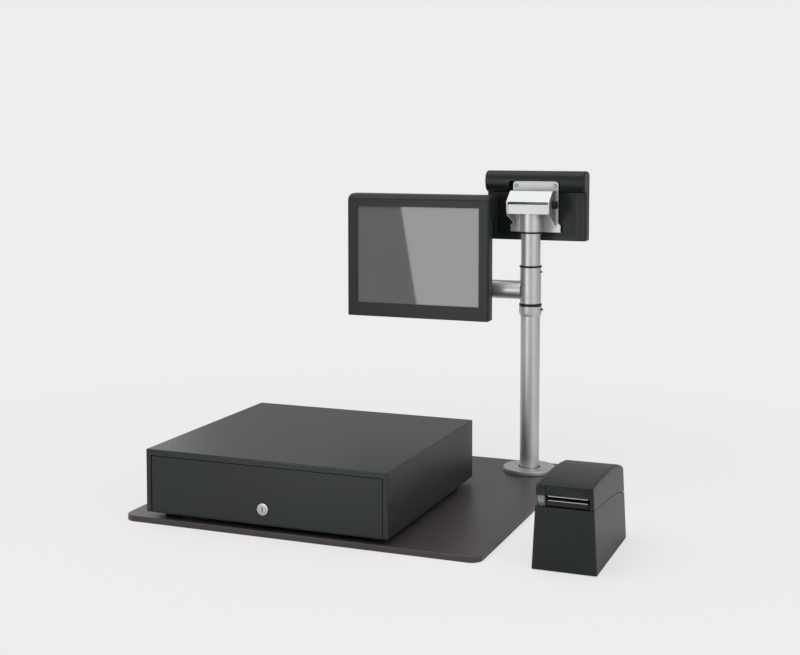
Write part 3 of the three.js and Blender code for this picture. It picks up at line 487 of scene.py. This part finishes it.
def arm():
    """A collar round the pole, and a tube that runs out from it and bends up to the swivel head."""
    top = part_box("display_arm")[1].z
    u, v = axis_of("pole_tube")
    end = axis_of("operator_swivel_head")[0]
    collar, collar_edge, collar_height, collar_below = mm(19.5), mm(0.7), mm(67.7), mm(6.9)
    tube, bend, into_collar, tilt_over_tube = mm(17.2), mm(20), mm(3.5), mm(65)
    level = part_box("operator_bracket")[0].z + TILT_RISE - tilt_over_tube
    collar_high = level - tube - collar_below + collar_height
    profile = ring_profile(collar_high - collar_height, collar_high, collar, POLE_BORE, collar_edge)
    bm = turned("z", profile, u, v, closed=False, facets=POLE_FACETS)

    path = [(u - collar + into_collar, level, 90)]
    for lean in range(90, -1, -6):
        a = math.radians(90 - lean)
        path.append((end + bend - bend * math.sin(a), level + bend * (1 - math.cos(a)), lean))
    path.append((end, top, 0))
    turn = [2 * math.pi * k / 72 for k in range(72)]
    loops = []
    for x, z, lean in path:
        c, s = math.cos(math.radians(lean)), math.sin(math.radians(lean))
        loops.append([(x + tube * math.cos(a) * c, v + tube * math.sin(a), z + tube * math.cos(a) * s)
                      for a in turn])
    stand_for("display_arm_tube", add_loops(bm, loops), "display_arm")


# ---------------------------------------------------------------- screens

def housing_outline(size, inset, steps=10):
    """The side outline of a screen's housing as (depth, height) points, depth from its front face."""
    low, high = -size["height"] / 2 + inset, size["height"] / 2 - inset
    front = high - size["shoulder"]
    back, roll = size["depth"] - inset, size["roll"] - inset
    roll_low = size["height"] / 2 - size["roll_height"] + inset
    bend_share, crown_share = 0.42, 0.5
    bend = size["roll_height"] * bend_share

    def curve(a, b, c):
        """Points after a on the curve to c that b pulls."""
        out = []
        for k in range(1, steps + 1):
            t = k / steps
            out.append(tuple((1 - t) ** 2 * a[n] + 2 * t * (1 - t) * b[n] + t * t * c[n] for n in (0, 1)))
        return out

    points = [(inset, low), (inset, front)]
    points += curve(points[-1], (inset + mm(2), high), (roll * crown_share, high))
    points.append((roll - bend, high))
    points += curve(points[-1], (roll, high), (roll, high - bend))
    points += curve(points[-1], (roll, roll_low), (back, roll_low))
    points.append((back, low))
    return points


def housing(size, centre, front_y, facing):
    """The closed housing with rounded side edges. facing is -1 for a screen that looks along -Y."""
    side_edge, steps = mm(3.2), 5
    loops = []
    for x, inset in rounding(-size["width"] / 2, size["width"] / 2, side_edge, steps):
        loops.append([(centre.x + x, front_y - facing * d, centre.z + h)
                      for d, h in housing_outline(size, inset)])
    return skin(loops)


def screen(name, facing, size):
    """The bezel, glass and rear cover of one screen, with bezel and cover cut from one closed housing."""
    low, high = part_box(f"{name}_rear_cover")
    bezel_low, bezel_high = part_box(f"{name}_bezel")
    glass_low, glass_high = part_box(f"{name}_glass")
    plate_low, plate_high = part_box(f"{name}_bracket")
    wide = high.x - low.x
    size = {**size, "width": wide, "height": high.z - low.z}
    centre = Vector(((low.x + high.x) / 2, 0, (low.z + high.z) / 2))
    front_y = bezel_low.y if facing < 0 else bezel_high.y
    back_y = front_y - facing * size["depth"]
    seam, seam_gap, lap = mm(12), mm(0.5), mm(4)

    def slab(d0, d1):
        y0, y1 = sorted((front_y - facing * d0, front_y - facing * d1))
        return block((centre.x - wide, y0, low.z - BEYOND), (centre.x + wide, y1, high.z + BEYOND))

    def sunk(x0, x1, z0, z1, deep):
        """A block that cuts this deep into the flat back."""
        y0, y1 = sorted((back_y + facing * deep, back_y - facing * BEYOND))
        return block((x0, y0, z0), (x1, y1, z1))

    y0, y1 = sorted((front_y + facing * mm(1), front_y - facing * mm(30)))
    window = skin(rounded_block("y", (
        Vector((glass_low.x + lap, y0, glass_low.z + lap)),
        Vector((glass_high.x - lap, y1, glass_high.z - lap))), mm(1.2), mm(0.05)))
    bezel = boolean(housing(size, centre, front_y, facing), slab(-mm(10), seam), "INTERSECT")
    bezel = boolean(bezel, window)
    stand_for(f"{name}_bezel_frame", bevelled(bezel, mm(0.35), 50), f"{name}_bezel", 30)

    cover = boolean(housing(size, centre, front_y, facing), slab(seam + seam_gap, 2 * BEYOND), "INTERSECT")
    pocket_clear, pocket_corner = mm(0.8), mm(5)
    y0, y1 = sorted((back_y, back_y - facing * BEYOND))
    cover = boolean(cover, skin(rounded_block("y", (
        Vector((plate_low.x - pocket_clear, y0, low.z - mm(50))),
        Vector((plate_high.x + pocket_clear, y1, plate_high.z + pocket_clear))), pocket_corner, mm(0.05))))

    left, right = centre.x - wide / 2, centre.x + wide / 2
    panel_low, panel_high = low.z + mm(11), high.z - size["roll_height"] - mm(0.6)
    panel_side, groove_side, foot_side, half_groove = mm(21), mm(11), mm(6), mm(0.4)
    panel_deep, groove_deep, vent_deep = mm(1.4), mm(0.8), mm(1.8)
    cover = boolean(cover, sunk(left + panel_side, right - panel_side, panel_low, panel_high, panel_deep))
    for x in (left + groove_side, right - groove_side):
        cover = boolean(cover, sunk(x - half_groove, x + half_groove, panel_low, panel_high, groove_deep))
    foot_low, foot_high = low.z + mm(8.4), low.z + mm(9.4)
    cover = boolean(cover, sunk(left + foot_side, right - foot_side, foot_low, foot_high, groove_deep))
    if name == "operator":
        for k in range(-9, 10):
            x = centre.x + k * mm(6)
            cover = boolean(cover, sunk(x - mm(1.2), x + mm(1.2), low.z + mm(14), low.z + mm(26), vent_deep))
    stand_for(f"{name}_cover_shell", bevelled(cover, mm(0.3), 50), f"{name}_rear_cover", 30)

    pane = skin(rounded_block("y", (glass_low, glass_high), mm(1), mm(0.3)))
    stand_for(f"{name}_glass_pane", pane, f"{name}_glass")


def bracket(name, facing):
    """The folded bracket: a plate on the screen's back, with a hood and two cheeks round the swivel head."""
    low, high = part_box(f"{name}_bracket")
    u = (low.x + high.x) / 2
    pivot = low.z + TILT_RISE
    plane = high.y if facing > 0 else low.y
    plate, sheet = mm(30), mm(2.5)
    back = plate + sheet

    def at(x, y, z):
        """A point given from the middle of the tilt axis, with y towards the screen."""
        return (u + facing * x, plane + facing * (y - back), pivot + z)

    def disc(x, y, z, radius):
        """A circle round a line along Y."""
        place = at(x, y, z)
        return circle("y", place[1], radius, place[0], place[2], 32)

    half, lower_half, corner = mm(44), mm(48.5), mm(6)
    top, step, foot = mm(42.4), mm(-36.5), mm(-53)
    right = [(lower_half, foot), (lower_half, step - mm(4)), (lower_half - mm(1), step - mm(2.6)),
             (half + mm(0.6), step - mm(0.6)), (half, step + mm(0.6))]
    right += arc(half - corner, top - corner, corner, 0)
    outline = [(-lower_half, foot)] + right + [(-x, z) for x, z in reversed(right[1:])]
    bm = skin([[at(x, y, z) for x, z in outline] for y in (plate, back)])

    half_pitch, drop, hole = mm(37.5), mm(3.5), mm(2.6)
    screws = [(f"{side}_{level}", x, z)
              for side, x in (("left", -half_pitch), ("right", half_pitch))
              for level, z in (("low", -half_pitch - drop), ("high", half_pitch - drop))]
    for _, x, z in screws:
        bm = boolean(bm, skin([disc(x, y, z, hole) for y in (mm(29), mm(34))]))

    cheek = [(mm(-24.5), mm(6)), (mm(-23.2), mm(-14)), (mm(-20.5), mm(-19.5)), (mm(-15.6), mm(-22.2)),
             (mm(-10), mm(-23)), (mm(31), mm(-40.5)), (mm(31), mm(25.2)), (0, mm(25.2))]
    inner, outer = mm(38.3), mm(40.8)
    for x0, x1 in ((inner, outer), (-outer, -inner)):
        bm = boolean(bm, skin([[at(x, y, z) for y, z in cheek] for x in (x0, x1)]), "UNION")
    hood = [(mm(-24.5), mm(6)), (mm(-23.3), mm(4.4)), (mm(1.2), mm(23.6)), (0, mm(25.2))]
    bm = boolean(bm, skin([[at(x, y, z) for y, z in hood] for x in (-outer, outer)]), "UNION")
    shank, reach = mm(2.7), mm(50)
    _, axis_y, axis_z = at(0, 0, 0)
    bm = boolean(bm, skin([circle("x", at(x, 0, 0)[0], shank, axis_y, axis_z, 32) for x in (-reach, reach)]))
    stand_for(f"{name}_bracket_folded", bevelled(bm, mm(0.4), 30), f"{name}_bracket")

    screw_head = ((mm(30.1), mm(2.2)), (mm(29.9), mm(3.6)), (mm(28.9), mm(3.5)), (mm(28.3), mm(2.9)),
                  (mm(28.1), mm(2)), (mm(28.1), mm(1.3)), (mm(29), mm(1.1)))
    for place, x, z in screws:
        finish_mesh(f"{name}_plate_screw_{place}", skin([disc(x, y, z, r) for y, r in screw_head]),
                    f"{name}_bracket")


# ---------------------------------------------------------------- printer

PRINTER_CROWN = ((0, 130.6), (0.04, 131.6), (0.12, 132.8), (0.25, 133.8), (0.42, 133.9), (0.63, 132),
                 (0.79, 128.4), (0.9, 122.8), (0.96, 118.8), (1, 115))
PRINTER_SEAM = ((0, 97.4), (0.25, 94.6), (0.5, 91.4), (0.7, 87.4), (0.85, 81.8), (1, 76))
PAST = mm(2)  # how far the seam's line runs past the printer's front and back


def height_at(y, profile):
    """The height of a line along the printer, from points (share of the way back, height in mm)."""
    low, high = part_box("printer_body")
    t = (y - low.y) / (high.y - low.y)
    for (a, za), (b, zb) in zip(profile, profile[1:]):
        if t <= b:
            f = max(0, (t - a) / (b - a))
            return mm(za + (zb - za) * f)
    return mm(profile[-1][1])


def printer_block(inset):
    """The printer's whole outer form, or its inner form at a wall's thickness."""
    low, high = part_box("printer_body")
    depth = high.y - low.y
    end_edge, edge_steps, end_zone, corner = mm(3.5), 5, mm(8), mm(4.5)
    lean = mm(5.3) / mm(97)
    ends = rounding(low.y + inset, high.y - inset, end_edge, edge_steps)
    middle = [(low.y + depth * k / 24, 0.0) for k in range(1, 24)]
    middle = [station for station in middle if low.y + end_zone < station[0] < high.y - end_zone]
    half = len(ends) // 2
    loops = []
    for y, pull in ends[:half] + middle + ends[half:]:
        i = inset + pull
        top = height_at(y, PRINTER_CROWN) - i

        def side(z, sign):
            return (low.x + lean * z + i) if sign < 0 else (high.x - lean * z - i)

        points = [(side(0, sign), mm(-5)) for sign in (-1, 1)]
        for sign, degrees in ((1, range(0, 91, 15)), (-1, range(90, -1, -15))):
            for degree in degrees:
                a = math.radians(degree)
                z = top - corner + corner * math.sin(a)
                points.append((side(z, sign) - sign * corner * (1 - math.cos(a)), z))
        loops.append([(x, y, z) for x, z in points])
    return skin(loops)


def printer_body(low, high, line, limits):
    """The lower housing, hollow under its top, with a notch at the back for the cover to swing into."""
    x0, x1 = limits
    seam_gap, wall, inside_top = mm(0.7), mm(2.5), mm(128)
    notch_deep, notch_below = mm(8), mm(1.6)
    below = [(y, z - seam_gap) for y, z in line] + [(high.y + PAST, low.z), (low.y - PAST, low.z)]
    body = boolean(printer_block(0), prism_x(below, x0, x1), "INTERSECT")
    inside = boolean(printer_block(wall), block((x0, low.y, -mm(10)), (x1, high.y, inside_top)), "INTERSECT")
    body = boolean(body, inside)
    back_seam = height_at(high.y, PRINTER_SEAM)
    notch = block((x0, high.y - notch_deep, back_seam - notch_below), (x1, high.y + PAST, mm(120)))
    stand_for("printer_body_shell", bevelled(boolean(body, notch), mm(0.5), 40), "printer_body", 30)


def printer_cover(low, high, line, limits):
    """The lid: a shell with the paper's mouth, a sunk panel over it, a split line and a pilot mark."""
    x0, x1 = limits
    wall, side_lean, pillar = mm(2.5), mm(5.3), mm(6.4)
    mouth_low, mouth_high, panel_low, panel_high = mm(90), mm(113.3), mm(110), mm(129)
    above = line + [(high.y + PAST, mm(150)), (low.y - PAST, mm(150))]
    cover = boolean(printer_block(0), prism_x(above, x0, x1), "INTERSECT")
    cover = boolean(cover, printer_block(wall))
    right = high.x - side_lean - pillar
    face = low.y
    panel_left, panel_right = low.x + mm(22), right - mm(1.5)
    eye = [circle("y", y, mm(1.5), panel_left + mm(21), mm(115.6), 24) for y in (face, face + mm(2.2))]
    for cut in (
        block((x0, face - mm(5), mouth_low), (right, face + mm(14), mouth_high)),
        block((panel_left, face - mm(1), panel_low), (panel_right, face + mm(1.3), panel_high)),
        block((panel_left - mm(0.7), face - mm(1), panel_low),
              (panel_left + mm(0.1), face + mm(2), panel_high + mm(0.6))),
        skin(eye),
    ):
        cover = boolean(cover, cut)
    stand_for("printer_cover_shell", bevelled(cover, mm(0.6), 40), "printer_cover", 30)


def printer_apron(low):
    """The strip of the body that shows in the mouth, under the paper guide."""
    guide_low, guide_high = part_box("paper_guide")
    apron = skin(rounded_block("x", (
        Vector((guide_low.x - mm(2), low.y + mm(1.4), mm(98.4))),
        Vector((guide_high.x + mm(2), low.y + mm(4.4), guide_low.z - mm(0.3)))), mm(0.8), mm(0.4)))
    finish_mesh("printer_apron", apron, "printer_body", finish="dark_plastic")


def printer():
    """The printer's body and lid, cut from one closed form along the seam between them."""
    low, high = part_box("printer_body")
    depth, steps = high.y - low.y, 20
    line = [(y, height_at(y, PRINTER_SEAM)) for y in (low.y + depth * k / steps for k in range(steps + 1))]
    line[0] = (low.y - PAST, line[0][1])
    line[-1] = (high.y + PAST, line[-1][1])
    limits = (low.x - mm(5), high.x + mm(5))
    printer_body(low, high, line, limits)
    printer_cover(low, high, line, limits)
    printer_apron(low)


# ---------------------------------------------------------------- floor, light and world

BACKGROUND = (0.863, 0.847, 0.855)
FLOOR_SHARE = 0.72  # how much of the floor near the object is the background's own colour
FADE_START, FADE_END = 0.6, 1.3  # the distances over which that share grows to all of it
SURROUND = 0.6  # the world's strength where it lights the object
MIRRORED = 0.56  # and where metal, glass and gloss reflect it


def make_floor():
    """A wide pale floor. The camera sees it as the background's colour, with the object's shadow on it."""
    bm = bmesh.new()
    bmesh.ops.create_grid(bm, x_segments=8, y_segments=8, size=12)
    mesh = bpy.data.meshes.new("floor")
    bm.to_mesh(mesh)
    bm.free()
    floor = bpy.data.objects.new("floor", mesh)
    bpy.context.scene.collection.objects.link(floor)
    made, tree, shader = new_material("floor_white", BACKGROUND, 0.9, specular=0.1)
    place = tree.nodes.new("ShaderNodeTexCoord")
    reach = tree.nodes.new("ShaderNodeVectorMath")
    reach.operation = "LENGTH"
    tree.links.new(place.outputs["Object"], reach.inputs[0])
    share = ranged(tree, reach.outputs["Value"], FLOOR_SHARE, 1, FADE_START, FADE_END)
    path = tree.nodes.new("ShaderNodeLightPath")
    shown = tree.nodes.new("ShaderNodeMath")
    shown.operation = "MULTIPLY"
    tree.links.new(path.outputs["Is Camera Ray"], shown.inputs[0])
    tree.links.new(share, shown.inputs[1])
    glow = tree.nodes.new("ShaderNodeEmission")
    glow.inputs["Color"].default_value = (*BACKGROUND, 1)
    mixed = tree.nodes.new("ShaderNodeMixShader")
    tree.links.new(shown.outputs[0], mixed.inputs["Fac"])
    tree.links.new(shader.outputs["BSDF"], mixed.inputs[1])
    tree.links.new(glow.outputs["Emission"], mixed.inputs[2])
    tree.links.new(mixed.outputs["Shader"], tree.nodes["Material Output"].inputs["Surface"])
    mesh.materials.append(made)


def make_world():
    """An even pale surround, the background's colour where it is seen."""
    world = bpy.data.worlds.new("studio")
    bpy.context.scene.world = world
    world.use_nodes = True
    tree = world.node_tree
    back = tree.nodes["Background"]
    back.inputs["Color"].default_value = (*BACKGROUND, 1)
    path = tree.nodes.new("ShaderNodeLightPath")
    seen = tree.nodes.new("ShaderNodeMath")
    seen.operation = "MAXIMUM"
    tree.links.new(path.outputs["Is Camera Ray"], seen.inputs[0])
    tree.links.new(path.outputs["Is Transmission Ray"], seen.inputs[1])
    glossy = ranged(tree, path.outputs["Is Glossy Ray"], SURROUND, MIRRORED, 0, 1)
    rest = tree.nodes.new("ShaderNodeMath")
    rest.operation = "MAXIMUM"
    tree.links.new(seen.outputs[0], rest.inputs[0])
    tree.links.new(glossy, rest.inputs[1])
    tree.links.new(rest.outputs[0], back.inputs["Strength"])


def area_light(name, place, aim, width, height, power, roll=0.0):
    """A rectangular lamp that faces a point, and that the camera doesn't see."""
    data = bpy.data.lights.new(name, "AREA")
    data.shape = "RECTANGLE"
    data.size, data.size_y = width, height
    data.energy = power
    light = bpy.data.objects.new(name, data)
    light.location = place
    light.rotation_euler = (Vector(aim) - Vector(place)).to_track_quat("-Z", "Y").to_euler()
    light.rotation_euler.rotate_axis("Z", math.radians(roll))
    light.visible_camera = False
    bpy.context.scene.collection.objects.link(light)
    return light


def light_scene():
    """Four soft boxes, and a strip that shows only as the pale band in the operator's glass."""
    area_light("top_softbox", (-0.3, -0.4, 2.6), (0, 0, 0.1), 2.6, 2.8, 36)
    area_light("right_softbox", (2.6, -1.4, 1.4), (0.1, 0, 0.25), 1.5, 1.8, 20)
    area_light("left_softbox", (-2.4, -1.6, 1.3), (0, 0, 0.3), 1.2, 1.6, 3)
    area_light("back_softbox", (-3.2, 3.4, 1.0), (-0.1, 0, 0.12), 1.3, 1.2, 6)
    strip = area_light("screen_strip", (-0.352, -1.2, 0.3), (-0.352, 0.2, 0.3), 0.33, 0.9, 4.6, roll=9.8)
    strip.visible_diffuse = False


# ---------------------------------------------------------------- build

base_plate()
cabinet()
drawer_front()
lock()
feet()
pole()
arm()
screen("operator", -1, {"shoulder": mm(11.1), "depth": mm(24.5), "roll": mm(57), "roll_height": mm(44)})
screen("customer", 1, {"shoulder": mm(6), "depth": mm(24.5), "roll": mm(43), "roll_height": mm(41)})
printer()
bracket("operator", -1)
bracket("customer", 1)

for edge, soft_nodes in (
    (0.2, ("drawer_tray", "outer_runner_left", "outer_runner_right", "inner_runner_left",
           "inner_runner_right")),
    (0.25, ("paper_guide", "tear_bar")),
    (0.3, ("operator_swivel_head", "customer_swivel_head", "printer_base",
           "note_clip_1", "note_clip_2", "note_clip_3", "note_clip_4")),
    (0.4, ("power_rocker",)),
    (0.5, ("operator_thumb_screw_left", "operator_thumb_screw_right", "customer_thumb_screw_left",
           "customer_thumb_screw_right", "print_head")),
    (0.6, ("release_lever", "till_insert")),
):
    for soft_node in soft_nodes:
        softened(soft_node, mm(edge))

for node, thing in nodes.items():
    thing.data.materials.clear()
    thing.data.materials.append(MATERIALS[node_slot[node]])

make_floor()
make_world()
light_scene()
bpy.context.scene.view_settings.view_transform = "Standard"
